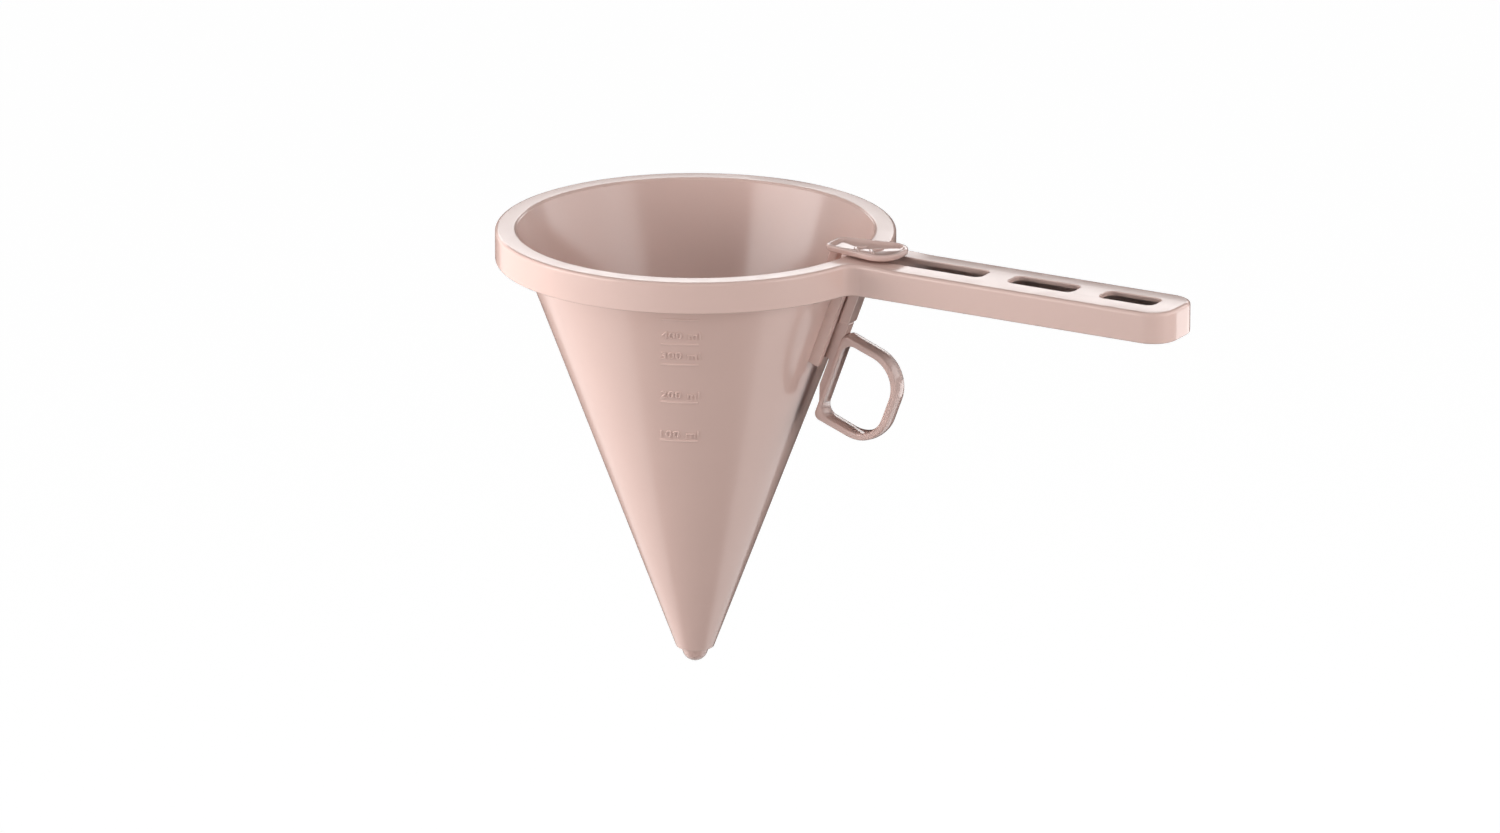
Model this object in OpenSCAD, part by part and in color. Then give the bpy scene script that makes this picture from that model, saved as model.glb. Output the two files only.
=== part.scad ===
// Piston funnel: a cone with a collar and a flat handle, and a stopper on a stem that is
// lifted along the cone's wall by a finger ring.
// The origin is the centre of the collar's underside. +Z is up and +X runs along the handle.

/* [Bowl] */
// Inner diameter of the mouth
mouth_d = 134.5; // [110:0.5:170]
// Width of the collar's top, from the mouth to its outer edge
collar_w = 7.75; // [6:0.25:14]
// Height of the collar and the handle
rim_h = 12; // [9:0.5:16]
// Height from the nozzle's mouth to the top of the collar
funnel_h = 165; // [145:1:190]
// Wall of the cone
cone_wall = 1.4; // [1.2:0.1:2.2]
// Wall of the collar and the handle
shell_wall = 2; // [1.4:0.1:2.6]
// Rounding of the collar's top edge
edge_r = 1.4; // [0.6:0.1:1.8]
// Bore of the nozzle at its mouth
nozzle_d = 11.2; // [10:0.2:16]

/* [Volume marks] */
// Heights of the raised marks below the top of the collar
mark_drops = [18, 28.7, 37.5, 54, 70.9]; // [10:0.1:100]
// Length of a mark
mark_l = 14; // [8:0.5:20]
// Width of a mark
mark_w = 1; // [0.6:0.1:2]
// How far a mark stands out
mark_out = 0.3; // [0.2:0.05:0.6]
// Direction of the marks' right ends, seen from above
mark_turn = -58.5; // [-120:0.5:-40]

/* [Handle] */
// Length of the handle, from the collar to its end
handle_l = 130; // [112:1:170]
// Width of the handle
handle_w = 28; // [24:0.5:34]
// Radius of the corners at the handle's end
handle_end_r = 10; // [5:0.5:11]
// Radius of the blends between the collar and the handle
root_r = 6; // [4:0.5:28]
// Length of the hanging slot
hang_slot_l = 22.5; // [14:0.5:28]
// Length of the middle slot
mid_slot_l = 27; // [16:0.5:32]
// Distance between neighbouring slots
slot_bridge = 11; // [6:0.5:14]
// Distance from the hanging slot to the handle's end
slot_margin = 10; // [6:0.5:14]
// Radius of the slots' corners
slot_r = 3; // [1.5:0.5:4.5]

/* [Slide] */
// Width of the runner
runner_w = 9.4; // [8:0.2:11]
// Thickness of the runner
runner_t = 2; // [1.4:0.1:2.8]
// Distance down the slope from the top of the collar to the runner's lower end
runner_end = 42.8; // [38:0.2:48]
// Distance down the slope from the top of the collar to the runner's upper end
runner_top = 8; // [4:0.5:14]
// Gap between the runner and the parts that guide it
slide_gap = 0.3; // [0.2:0.05:0.5]
// Gap between the runner and the sides of the slot in the handle
slot_gap = 0.2; // [0.15:0.05:0.6]
// Thickness of the rails
rail_t = 1.4; // [1:0.1:2]
// Thickness of the rails' lips
lip_t = 1.2; // [0.8:0.1:2]
// How far the lips reach in over the runner
lip_in = 1.6; // [1:0.1:2]
// Distance down the slope from the top of the collar to the rails' lower end
rail_end = 46; // [42:0.5:60]

/* [Piston] */
// Diameter of the stopper's round nose
stopper_d = 9.7; // [8:0.1:10.4]
// Height of the stopper above the middle of its nose
stopper_h = 6; // [2:0.5:12]
// Gap between the stopper and the inside of the cone
stopper_gap = 0.1; // [0.05:0.05:0.3]
// Depth of the stem, square to the cone's wall
stem_t = 4; // [2.5:0.1:5]
// Width of the stem
stem_w = 4; // [2.5:0.1:6]
// Gap between the stem and the inside of the cone
stem_gap = 4.2; // [2:0.1:4.6]
// Width of the arm in the handle's slot
arm_w = 6.4; // [4.4:0.1:7.6]
// Depth of the arm, square to the cone's wall
arm_t = 4.2; // [3:0.1:6]
// Distance down the slope from the top of the collar to the arm's lower end
arm_end = 26.5; // [20:0.5:30]
// Width of the web between the runner and the ring
web_w = 4; // [2:0.2:5]
// Width of the gusset under the web
gusset_w = 3; // [2:0.2:4]
// Depth of the gusset, square to the cone's wall
gusset_t = 2.7; // [1:0.1:2.8]

/* [Thumb pad] */
// Gap between the collar and the pad
pad_gap = 1; // [0.4:0.1:3]
// Thickness of the pad
pad_t = 2.4; // [2:0.1:4]
// How far the pad's narrow end reaches in over the mouth
pad_over = 8.85; // [8.2:0.05:14]
// Length of the pad
pad_l = 30.2; // [26:0.2:36]
// Width of the pad's narrow end
pad_w_in = 13.2; // [9:0.2:15]
// Width of the pad's wide end
pad_w_out = 20; // [15:0.2:24]
// Radius of the corners at the pad's narrow end
pad_in_r = 3.5; // [2.2:0.1:4.4]
// Radius of the corners at the pad's wide end
pad_out_r = 8; // [2.2:0.1:8.4]
// Width of the raised edge round the pad
pad_lip = 1.6; // [1:0.1:2]
// Depth of the pad's dished top
pad_dish = 0.8; // [0.4:0.1:1.2]
// Distance from the pad's narrow end to the first ridge in the dish
ridge_start = 10.3; // [8:0.1:12]
// Distance from ridge to ridge
ridge_pitch = 6.6; // [4:0.1:8]
// Length of a ridge's arms
ridge_l = 4.3; // [2:0.1:4.5]
// Width of the ridges
ridge_w = 1; // [0.6:0.1:1.6]
// Height of the ridges
ridge_h = 0.6; // [0.3:0.1:0.8]
// Direction of a ridge's arms
ridge_turn = 52; // [40:1:65]

/* [Finger ring] */
// Distance down the slope from the top of the collar to the top of the ring
ring_top = 30.3; // [30:0.1:36]
// Length of the ring along the slope
ring_l = 36.5; // [34:0.5:42]
// Reach of the ring, square to the slope
ring_reach = 28.8; // [26:0.2:34]
// Thickness of the ring's band
ring_band = 2.8; // [1.8:0.1:3.6]
// Thickness of the ring's straight side
ring_side = 1.9; // [1.4:0.1:3]
// Width of the ring
ring_w = 7; // [4:0.2:8]
// Radius of the ring's outer corners away from the cone
ring_r = 14; // [8:0.5:17]
// Radius of the ring's outer corners next to the cone
ring_in_r = 2.4; // [1:0.1:5]
// Radius of the corners of the ring's opening next to the cone
ring_hole_r = 4.5; // [0.2:0.1:6]
// How far the ring's straight side sits behind the arm's outer face
ring_step = 0.6; // [0.2:0.1:1.5]

/* [Hidden] */
$fn = 96;
eps = 0.01;
plastic = [0.87, 0.72, 0.68];
plastic_light = [0.90, 0.76, 0.72];

// The collar
mouth_r = mouth_d / 2;
rim_r = mouth_r + collar_w;
flange_z = rim_h - shell_wall;
skirt_r = rim_r - shell_wall;

// The cone's inner wall runs straight from the mouth to the nozzle.
nozzle_r = nozzle_d / 2;
nozzle_z = rim_h - funnel_h;
slope = (mouth_r - nozzle_r) / funnel_h;
tilt = atan(slope);
wall_level = cone_wall / cos(tilt);
function inner_r(z) = nozzle_r + slope * (z - nozzle_z);
function outer_r(z) = inner_r(z) + wall_level;

// Distances from the cone's outer wall, square to it, outward
runner_n1 = slide_gap + runner_t;
lip_n0 = runner_n1 + slide_gap;
lip_n1 = lip_n0 + lip_t;
arm_n0 = lip_n1 + slide_gap;
arm_n1 = arm_n0 + arm_t;
ring_n0 = arm_n1 - ring_step;
ring_n2 = ring_n0 + ring_reach;
stem_n1 = -cone_wall - stem_gap;
stem_n0 = stem_n1 - stem_t;
ring_bottom = ring_top + ring_l;
rail_y = runner_w / 2 + slide_gap;
stopper_r = stopper_d / 2;
stopper_z = nozzle_z - nozzle_r / slope + (stopper_r + stopper_gap) / sin(tilt);
stopper_top = stopper_z + stopper_h;
function stopper_side(z) = inner_r(z) - stopper_gap / cos(tilt);
pad_start = mouth_r - pad_over;
pad_z = rim_h + pad_gap;

// The slots in the handle, from its end inwards
slot_w = runner_w + 2 * slot_gap;
handle_reach = rim_r + handle_l;
hang_x1 = handle_reach - slot_margin;
hang_x0 = hang_x1 - hang_slot_l;
mid_x1 = hang_x0 - slot_bridge;
mid_x0 = mid_x1 - mid_slot_l;
arm_slot_x1 = mid_x0 - slot_bridge;
arm_slot_x0 = outer_r(rim_h) + slot_r;

// Centre of the blend between collar and handle, and where it meets the collar
blend_y = handle_w / 2 + root_r;
blend_x = sqrt(pow(rim_r + root_r, 2) - pow(blend_y, 2));
meet_x = blend_x * rim_r / (rim_r + root_r);
meet_y = blend_y * rim_r / (rim_r + root_r);
meet_turn = atan(blend_y / blend_x);

// Moves its children to the slope frame: X is square to the cone's outer wall, outward,
// and Z runs up the slope, with zero at the top of the collar.
module on_slope() {
    translate([outer_r(rim_h), 0, rim_h]) rotate([0, tilt, 0]) children();
}

// A block in the slope frame, from n0 to n1 outward and from d0 to d1 down the slope
module slope_block(n0, n1, d0, d1, width) {
    translate([n0, -width / 2, -d1]) cube([n1 - n0, width, d1 - d0]);
}

// Everything outside the cone's outer wall is kept from its children.
module outside_cone() {
    difference() {
        children();
        translate([0, 0, nozzle_z])
            cylinder(h = funnel_h, r1 = outer_r(nozzle_z), r2 = outer_r(rim_h));
    }
}

// Everything above the underside of the thumb pad
module above_pad_underside() {
    translate([0, -rim_r, pad_z]) cube([2 * rim_r, 2 * rim_r, rim_r]);
}

// A plate with rounded corners, from x0 to x1
module round_plate(x0, x1, width, r, z0, h) {
    translate([x0, r - width / 2, z0]) cube([x1 - x0, width - 2 * r, h]);
    translate([x0 + r, -width / 2, z0]) cube([x1 - x0 - 2 * r, width, h]);
    for (x = [x0 + r, x1 - r], y = [r - width / 2, width / 2 - r])
        translate([x, y, z0]) cylinder(h = h, r = r);
}

// The slot in which the arm moves. Its cone end follows the slope of the cone's outer wall.
module arm_slot_cut() {
    on_slope() slope_block(0, 2 * slot_r, -2 * shell_wall, 2 * rim_h, slot_w);
    round_plate(arm_slot_x0, arm_slot_x1, slot_w, slot_r, -1, rim_h + 2);
}

module volume_marks() {
    for (drop = mark_drops) {
        z = rim_h - drop;
        turn = mark_l / outer_r(z) * 180 / PI;
        rotate([0, 0, mark_turn - turn])
            rotate_extrude(angle = turn)
                polygon([
                    [outer_r(z - mark_w / 2) - cone_wall / 2, z - mark_w / 2],
                    [outer_r(z - mark_w / 2) + mark_out, z - mark_w / 2],
                    [outer_r(z + mark_w / 2) + mark_out, z + mark_w / 2],
                    [outer_r(z + mark_w / 2) - cone_wall / 2, z + mark_w / 2]
                ]);
    }
}

module funnel_cone() {
    color(plastic) {
        rotate_extrude()
            polygon([
                [nozzle_r, nozzle_z],
                [outer_r(nozzle_z), nozzle_z],
                [outer_r(flange_z), flange_z],
                [inner_r(flange_z), flange_z]
            ]);
        volume_marks();
    }
}

// Rounds the collar's top edge, apart from the stretch where the handle joins it
module edge_cut() {
    rotate([0, 0, meet_turn])
        rotate_extrude(angle = 360 - 2 * meet_turn)
            difference() {
                translate([rim_r - edge_r, rim_h - edge_r]) square(edge_r + 1);
                translate([rim_r - edge_r, rim_h - edge_r]) circle(edge_r);
            }
}

module rim_collar() {
    color(plastic_light)
        difference() {
            rotate_extrude()
                polygon([
                    [inner_r(flange_z), flange_z],
                    [skirt_r, flange_z],
                    [skirt_r, 0],
                    [rim_r, 0],
                    [rim_r, rim_h],
                    [mouth_r, rim_h]
                ]);
            edge_cut();
            arm_slot_cut();
        }
}

// Outline of the handle with its blends into the collar, drawn in by a wall
module handle_form(wall, h) {
    round_plate(rim_r / 2, handle_reach - wall, handle_w - 2 * wall, handle_end_r - wall, 0, h);
    difference() {
        linear_extrude(h) polygon([[0, 0], [meet_x, -meet_y], [blend_x, -blend_y], [blend_x, blend_y],
            [meet_x, meet_y]]);
        for (side = [-1, 1])
            translate([blend_x, side * blend_y, -1]) cylinder(h = h + 2, r = root_r + wall);
    }
}

// The handle is open underneath, so the slots pass through its top alone.
module handle() {
    color(plastic_light)
        difference() {
            handle_form(0, rim_h);
            translate([0, 0, -shell_wall]) handle_form(shell_wall, rim_h);
            translate([0, 0, -1]) cylinder(h = rim_h + 2, r = rim_r);
            arm_slot_cut();
            round_plate(mid_x0, mid_x1, slot_w, slot_r, -1, rim_h + 2);
            round_plate(hang_x0, hang_x1, slot_w, slot_r, -1, rim_h + 2);
        }
}

// An upright on the cone's outer wall with a lip that reaches in over the runner
module guide_rail(side) {
    color(plastic)
        difference() {
            outside_cone()
                on_slope() {
                    translate([-cone_wall, side > 0 ? rail_y : -rail_y - rail_t, -rail_end])
                        cube([cone_wall + lip_n1, rail_t, rail_end]);
                    translate([lip_n0, side > 0 ? rail_y - lip_in : -rail_y - eps, -rail_end])
                        cube([lip_t, lip_in + eps, rail_end]);
                }
            translate([0, -rim_r, flange_z]) cube([2 * rim_r, 2 * rim_r, rim_h]);
            difference() {
                cylinder(h = rim_h, r = rim_r + rim_h);
                translate([0, 0, -1]) cylinder(h = rim_h + 2, r = skirt_r);
            }
        }
}

module front_guide_rail() {
    guide_rail(-1);
}

module rear_guide_rail() {
    guide_rail(1);
}

// Outline of the thumb pad, drawn in by a margin
module pad_form(margin, z0, h) {
    wide_r = min(pad_out_r, pad_w_out / 2);
    hull()
        for (side = [-1, 1]) {
            translate([pad_start + pad_in_r, side * (pad_w_in / 2 - pad_in_r), z0])
                cylinder(h = h, r = pad_in_r - margin, $fn = 32);
            translate([pad_start + pad_l - wide_r, side * (pad_w_out / 2 - wide_r), z0])
                cylinder(h = h, r = wide_r - margin, $fn = 32);
        }
}

// Two raised chevrons in the dish give the thumb its grip.
module pad_chevrons() {
    for (x = [ridge_start, ridge_start + ridge_pitch], side = [-1, 1])
        translate([pad_start + x, 0, pad_z + pad_t - pad_dish - eps])
            rotate([0, 0, side * ridge_turn])
                translate([0, -ridge_w / 2, 0]) cube([ridge_l, ridge_w, ridge_h]);
}

module thumb_pad() {
    color(plastic_light) {
        difference() {
            pad_form(0, pad_z, pad_t);
            pad_form(pad_lip, pad_z + pad_t - pad_dish, pad_dish + 1);
        }
        pad_chevrons();
    }
}

// A round nose whose sides carry on upwards, parallel to the inside of the cone
module stopper_body() {
    side_z = stopper_z - stopper_r * sin(tilt);
    translate([0, 0, stopper_z]) sphere(r = stopper_r);
    translate([0, 0, side_z])
        cylinder(h = stopper_top - side_z, r1 = stopper_side(side_z), r2 = stopper_side(stopper_top));
}

module stopper() {
    color(plastic) stopper_body();
}

module piston_stem() {
    color(plastic)
        difference() {
            on_slope() slope_block(stem_n0, stem_n1, -rim_h, funnel_h / cos(tilt), stem_w);
            above_pad_underside();
            translate([0, 0, stopper_top - 2 * rim_h]) cylinder(h = 2 * rim_h, r = 2 * rim_h);
        }
}

module slide_arm() {
    color(plastic)
        difference() {
            on_slope() slope_block(arm_n0, arm_n1, -2 * rim_h, arm_end, arm_w);
            above_pad_underside();
        }
}

module slide_runner() {
    gusset_top = runner_end - web_w / 2;
    gusset_n = ring_n0 - gusset_t;
    color(plastic)
        on_slope() {
            slope_block(slide_gap, runner_n1, runner_top, runner_end, runner_w);
            slope_block(runner_n1 - eps, arm_n0, runner_top, runner_end, web_w);
            slope_block(arm_n0 - eps, ring_n0, arm_end, gusset_top, web_w);
            translate([gusset_n, gusset_w / 2, 0])
                rotate([90, 0, 0])
                    linear_extrude(gusset_w)
                        polygon([
                            [0, -gusset_top + eps],
                            [0, -(runner_end + ring_bottom) / 2],
                            [ring_n0 - gusset_n, -ring_bottom + ring_in_r * 2],
                            [ring_n0 - gusset_n, -gusset_top + eps]
                        ]);
        }
}

// The ring's outline as a plate in the slope frame, drawn in by a margin, and by one of its
// own on the straight side. The corners away from the cone meet at the most, so that the
// ring keeps to its reach.
module ring_form(side_margin, margin, round_in, width) {
    round_out = min(ring_r, ring_reach / 2, ring_l / 2 - eps) - margin;
    n0 = ring_n0 + side_margin;
    n1 = ring_n2 - margin;
    d0 = ring_top + margin;
    d1 = ring_bottom - margin;
    slope_block(n0 + round_in, n1 - round_out, d0, d1, width);
    slope_block(n0, n0 + round_in + eps, d0 + round_in, d1 - round_in, width);
    slope_block(n1 - round_out - eps, n1, d0 + round_out, d1 - round_out, width);
    for (d = [d0 + round_in, d1 - round_in])
        translate([n0 + round_in, width / 2, -d]) rotate([90, 0, 0]) cylinder(h = width, r = round_in);
    for (d = [d0 + round_out, d1 - round_out])
        translate([n1 - round_out, width / 2, -d]) rotate([90, 0, 0]) cylinder(h = width, r = round_out);
}

module finger_ring() {
    color(plastic)
        on_slope()
            difference() {
                ring_form(0, 0, ring_in_r, ring_w);
                ring_form(ring_side, ring_band, ring_hole_r, ring_w + 2);
            }
}

funnel_cone();
rim_collar();
handle();
front_guide_rail();
rear_guide_rail();
thumb_pad();
piston_stem();
stopper();
slide_arm();
slide_runner();
finger_ring();
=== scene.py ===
import math

import bmesh
import bpy
from mathutils import Matrix, Vector
from mathutils.geometry import tessellate_polygon


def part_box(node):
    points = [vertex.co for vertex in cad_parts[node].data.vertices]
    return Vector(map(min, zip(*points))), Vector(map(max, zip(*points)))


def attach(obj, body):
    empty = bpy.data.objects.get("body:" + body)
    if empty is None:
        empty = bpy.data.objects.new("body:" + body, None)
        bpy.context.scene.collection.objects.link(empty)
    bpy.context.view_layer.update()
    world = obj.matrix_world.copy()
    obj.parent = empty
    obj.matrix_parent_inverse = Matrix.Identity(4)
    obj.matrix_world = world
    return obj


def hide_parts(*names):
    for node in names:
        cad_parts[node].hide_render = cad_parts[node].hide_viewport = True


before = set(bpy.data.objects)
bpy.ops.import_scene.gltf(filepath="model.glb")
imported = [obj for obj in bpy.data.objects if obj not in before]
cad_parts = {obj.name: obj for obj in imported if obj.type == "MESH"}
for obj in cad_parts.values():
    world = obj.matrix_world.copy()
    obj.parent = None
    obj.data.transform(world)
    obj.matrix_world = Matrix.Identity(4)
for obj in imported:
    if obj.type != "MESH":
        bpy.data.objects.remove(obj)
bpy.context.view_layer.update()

# Lengths below are in millimetres, as in the part, and MM turns them into metres.
MM = 0.001
# A hair keeps the dressed handle inside the CAD box in spite of rounding.
HAIR = 0.001
BODY = "funnel_body"
PISTON = "piston"
BODY_SLOT = "body_plastic"
PISTON_SLOT = "piston_plastic"


def in_mm(corner):
    """A corner of a box, in millimetres."""
    return [value / MM for value in corner]


# Driving sizes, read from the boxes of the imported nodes
_, collar_high = (in_mm(c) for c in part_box("rim_collar"))
cone_low, _ = (in_mm(c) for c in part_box("funnel_cone"))
_, handle_high = (in_mm(c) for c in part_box("handle"))
pad_low, pad_high = (in_mm(c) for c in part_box("thumb_pad"))
stopper_low, stopper_high = (in_mm(c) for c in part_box("stopper"))

RIM_R = collar_high[1]
RIM_H = collar_high[2]
HANDLE_END = handle_high[0] - HAIR
NOZZLE_Z = cone_low[2]

# The bowl
COLLAR_BAND = 7.75
MOUTH_R = RIM_R - COLLAR_BAND
NOZZLE_R = 5.6
CONE_WALL = 1.4
SHELL_WALL = 2.0
EDGE_R = 1.4
MOUTH_EDGE_R = 0.8
LIP_R = 0.35
LIP_BEND = 0.1
NECK_R = 0.8
NECK_BEND = 0.2
NECK_BEND_DROP = 0.3
SMALL_R = 0.4
SMALL_BEND = 0.12
SKIRT_R = 0.7
QUARTERS = (0.25, 0.5, 0.75)
CEILING_Z = RIM_H - SHELL_WALL
SLOPE = (MOUTH_R - NOZZLE_R) / (RIM_H - NOZZLE_Z)
TILT = math.atan(SLOPE)

# The handle
HANDLE_W = 28.0
HANDLE_END_R = 10.0
HANDLE_CROWN = 0.45
CROWN_START = 6
CROWN_WHOLE = 22
CROWN_LEAD = 4
CROWN_HALF_W = 12
CROWN_CUT_Y = 2
CROWN_CUT_X = 3
CUT_NEARNESS = 1e-7
ROOT_R = 6.0
ROOT_WALL_PAST = 1.5
ROOT_WALL_STEPS = 10
ROOT_WALL_SINK = 0.5
ROOT_WALL_IN = 0.02
SLOT_W = 9.8
SLOT_R = 3.0
SLOT_EDGE_R = 0.5
SLOT_MARGIN = 10.0
SLOT_BRIDGE = 11.0
HANG_SLOT_L = 22.5
MID_SLOT_L = 27.0
CUTTER_BELOW = 5
CUTTER_ABOVE = 3
CUTTER_GAP = 0.05

# The slide: runner, rails, arm and stem. Names with N0 or N1 are distances from the cone's
# outer wall, square to it.
SLIDE_GAP = 0.3
RUNNER_W = 9.4
RUNNER_T = 2.0
RUNNER_TOP = 8.0
RUNNER_END = 42.8
RUNNER_EDGE_R = 0.3
RAIL_T = 1.4
RAIL_TOP = 1.6
RAIL_END = 46.0
RAIL_SINK = 0.9
RAIL_EDGE_R = 0.3
LIP_T = 1.2
LIP_IN = 1.6
ARM_W = 6.4
ARM_T = 4.2
ARM_END = 26.5
ARM_FOOT_R = 1.2
ARM_FOOT_TURN = 60
ARM_EDGE_R = 0.55
INTO_PAD = 0.4
STEM_W = 4.0
STEM_T = 4.0
STEM_GAP = 4.2
STEM_EDGE_R = 0.7
INTO_STOPPER = 1.5
RUNNER_N1 = SLIDE_GAP + RUNNER_T
LIP_N0 = RUNNER_N1 + SLIDE_GAP
LIP_N1 = LIP_N0 + LIP_T
ARM_N0 = LIP_N1 + SLIDE_GAP
ARM_N1 = ARM_N0 + ARM_T
STEM_N1 = -CONE_WALL - STEM_GAP
STEM_N0 = STEM_N1 - STEM_T

# The finger ring
RING_SINK = 0.6
RING_REACH = 28.8
RING_L = 36.5
RING_N0 = ARM_N1 - RING_SINK
RING_N2 = RING_N0 + RING_REACH
RING_TOP = 30.3
RING_BOTTOM = RING_TOP + RING_L
RING_BAND = 2.8
RING_SIDE = 1.9
RING_CROWN = 0.5
RING_EDGE_R = 1.0
RING_W = 7.0
RING_TOP_R = 14.4
RING_BOTTOM_R = 13.5
RING_IN_R = 2.4
RING_HOLE_R = 4.5

# The web and the gusset between runner and ring, which reach a little into their neighbours
WEB_W = 4.0
WEB_SINK = 0.4
WEB_INTO_ARM = 0.5
WEB_SHOULDER = 4
WEB_NECK = 6
WEB_END_R = 1.4
WEB_END_N = RING_N0 - 1
WEB_EDGE_R = 0.5
GUSSET_W = 3.0
GUSSET_T = 2.7
GUSSET_SINK = 0.5
GUSSET_INSET = 3
GUSSET_TIP = 4.5
GUSSET_TIP_T = 0.1
GUSSET_EDGE_R = 0.4

# The stopper: its nose, its clearance in the cone, and its upper edge
NOSE_R = 4.85
STOPPER_GAP = 0.1
STOPPER_EDGE_R = 0.8
STOPPER_EDGE_DROP = 0.6
STOPPER_BEND = 0.25
STOPPER_BEND_DROP = 0.15

# The thumb pad. Its foot has pairs of inset and rise, its lip has pairs of inset and drop.
PAD_W_IN = 13.2
PAD_W_OUT = 20.0
PAD_IN_R = 3.5
PAD_OUT_R = 8.0
PAD_SHARP = 50
PAD_FOOT = ((0.9, 0), (0.4, 0.1), (0.12, 0.35), (0, 0.7))
PAD_LIP_OUTSIDE = ((0, 0.7), (0.1, 0.35), (0.35, 0.1), (0.75, 0))
PAD_LIP_INSIDE = ((1.2, 0.02), (1.55, 0.2), (1.9, 0.5), (2.4, 0.85), (3.2, 1.1))
# The dish has pairs of share of the lip's inner outline and drop.
PAD_DISH = ((0.75, 1.35), (0.5, 1.58), (0.25, 1.7))

# The two chevrons in the pad's dish
CHEVRON_STARTS = (10.3, 16.9)
CHEVRON_TURN = math.radians(52)
CHEVRON_L = 5.0
CHEVRON_H = 0.62
CHEVRON_HALF_W = 0.75
CHEVRON_DROP = 1.5
CHEVRON_SINK = 0.05
CHEVRON_SHARES = (0, 0.25, 0.5, 0.75, 0.92, 1)
CHEVRON_END_H = 0.02
CHEVRON_END_W = 0.05

# Steps of round shapes, and angles in degrees over which an edge stays sharp or is bevelled
CIRCLE_STEPS = 256
COLLAR_STEPS = 240
STOPPER_STEPS = 96
PAD_STEPS = 96
CORNER_STEPS = 16
NOSE_STEPS = 14
SLOT_END_STEPS = 8
CHEVRON_STEPS = 8
ROUND_STEPS = 6
RING_EDGE_STEPS = 5
RING_CROWN_STEPS = 4
EDGE_STEPS = 4
SMALL_STEPS = 3
BEVEL_STEPS = 3
SHARP = 35


def inner_r(z):
    """Inner radius of the cone at a height."""
    return NOZZLE_R + SLOPE * (z - NOZZLE_Z)


def outer_r(z):
    """Outer radius of the cone at a height."""
    return inner_r(z) + CONE_WALL / math.cos(TILT)


def on_slope(n, s, y):
    """A point in the slope frame: n outward, square to the cone's outer wall, s down the slope."""
    return (
        outer_r(RIM_H) + n * math.cos(TILT) - s * math.sin(TILT),
        y,
        RIM_H - n * math.sin(TILT) - s * math.cos(TILT),
    )


def arc(cx, cy, r, start, end, steps):
    """Points of an arc, in degrees, with both ends."""
    turns = [math.radians(start + (end - start) * i / steps) for i in range(steps + 1)]
    return [(cx + r * math.cos(t), cy + r * math.sin(t)) for t in turns]


def circle(r, z, steps=CIRCLE_STEPS):
    """Points of a level circle round the cone's axis."""
    turns = [2 * math.pi * i / steps for i in range(steps)]
    return [(r * math.cos(t), r * math.sin(t), z) for t in turns]


class Skin:
    """A mesh that grows from closed rings of points, in millimetres."""

    def __init__(self):
        self.points = []
        self.faces = []

    def ring(self, points):
        """Adds a ring and returns the numbers of its points."""
        start = len(self.points)
        self.points.extend(points)
        return list(range(start, len(self.points)))

    def band(self, a, b):
        """Quads between two rings with as many points."""
        count = len(a)
        for i in range(count):
            j = (i + 1) % count
            self.faces.append((a[i], a[j], b[j], b[i]))

    def loft(self, rings):
        """Adds the rings with bands between them and returns the first and the last."""
        made = [self.ring(points) for points in rings]
        for a, b in zip(made, made[1:]):
            self.band(a, b)
        return made[0], made[-1]

    def fill(self, outer, holes=()):
        """A flat face inside a ring, with rings as holes."""
        loops = [outer, *holes]
        flat = [index for loop in loops for index in loop]
        polygons = [[Vector(self.points[i]) for i in loop] for loop in loops]
        for a, b, c in tessellate_polygon(polygons):
            self.faces.append((flat[a], flat[b], flat[c]))

    def solid(self, rings):
        """A closed body through the rings, with flat ends."""
        first, last = self.loft(rings)
        self.fill(first)
        self.fill(last)

    def mesh(self, name):
        """The mesh in metres, with its faces turned outward."""
        mesh = bpy.data.meshes.new(name)
        mesh.from_pydata([Vector(p) * MM for p in self.points], [], self.faces)
        turned = bmesh.new()
        turned.from_mesh(mesh)
        bmesh.ops.recalc_face_normals(turned, faces=turned.faces)
        turned.to_mesh(mesh)
        turned.free()
        return mesh


def add_object(name, mesh):
    """An object of the scene from a mesh."""
    piece = bpy.data.objects.new(name, mesh)
    bpy.context.scene.collection.objects.link(piece)
    return piece


def shade(piece, sharp=SHARP):
    """Smooth shading in which flat faces stay flat beside their rounded edges."""
    piece.data.shade_smooth()
    piece.data.set_sharp_from_angle(angle=math.radians(sharp))
    weighted = piece.modifiers.new("flat_faces", "WEIGHTED_NORMAL")
    weighted.mode = "FACE_AREA_WITH_ANGLE"
    weighted.keep_sharp = True


def apply_modifiers(piece):
    """Turns what the modifiers make into the object's own mesh."""
    depsgraph = bpy.context.evaluated_depsgraph_get()
    mesh = bpy.data.meshes.new_from_object(piece.evaluated_get(depsgraph))
    piece.modifiers.clear()
    piece.data = mesh


def bevel(piece, width):
    """Rounds the object's sharp edges by a width."""
    round_off = piece.modifiers.new("rounded_edges", "BEVEL")
    round_off.width = width * MM
    round_off.segments = BEVEL_STEPS
    round_off.limit_method = "ANGLE"
    round_off.angle_limit = math.radians(SHARP)
    apply_modifiers(piece)


def finish_piece(piece, body, slot, material, *nodes):
    """Gives a piece its material, its body and the CAD nodes that it stands for. The slot is not
    used.
    """
    piece.data.materials.clear()
    piece.data.materials.append(material)
    if nodes:
        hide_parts(*nodes)
    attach(piece, body)
    return piece


# The camera: where it looks, how far it stands off, and its angles
LOOK_REACH = 20.52
LOOK_Z = -62.19
CAMERA_AWAY = 3599.0
CAMERA_AZIMUTH = math.radians(30.0)
CAMERA_ELEVATION = math.radians(17.23)
CAMERA_ROLL = math.radians(0.17)
CAMERA_LENS = 229.75
CAMERA_SENSOR = 36


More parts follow.
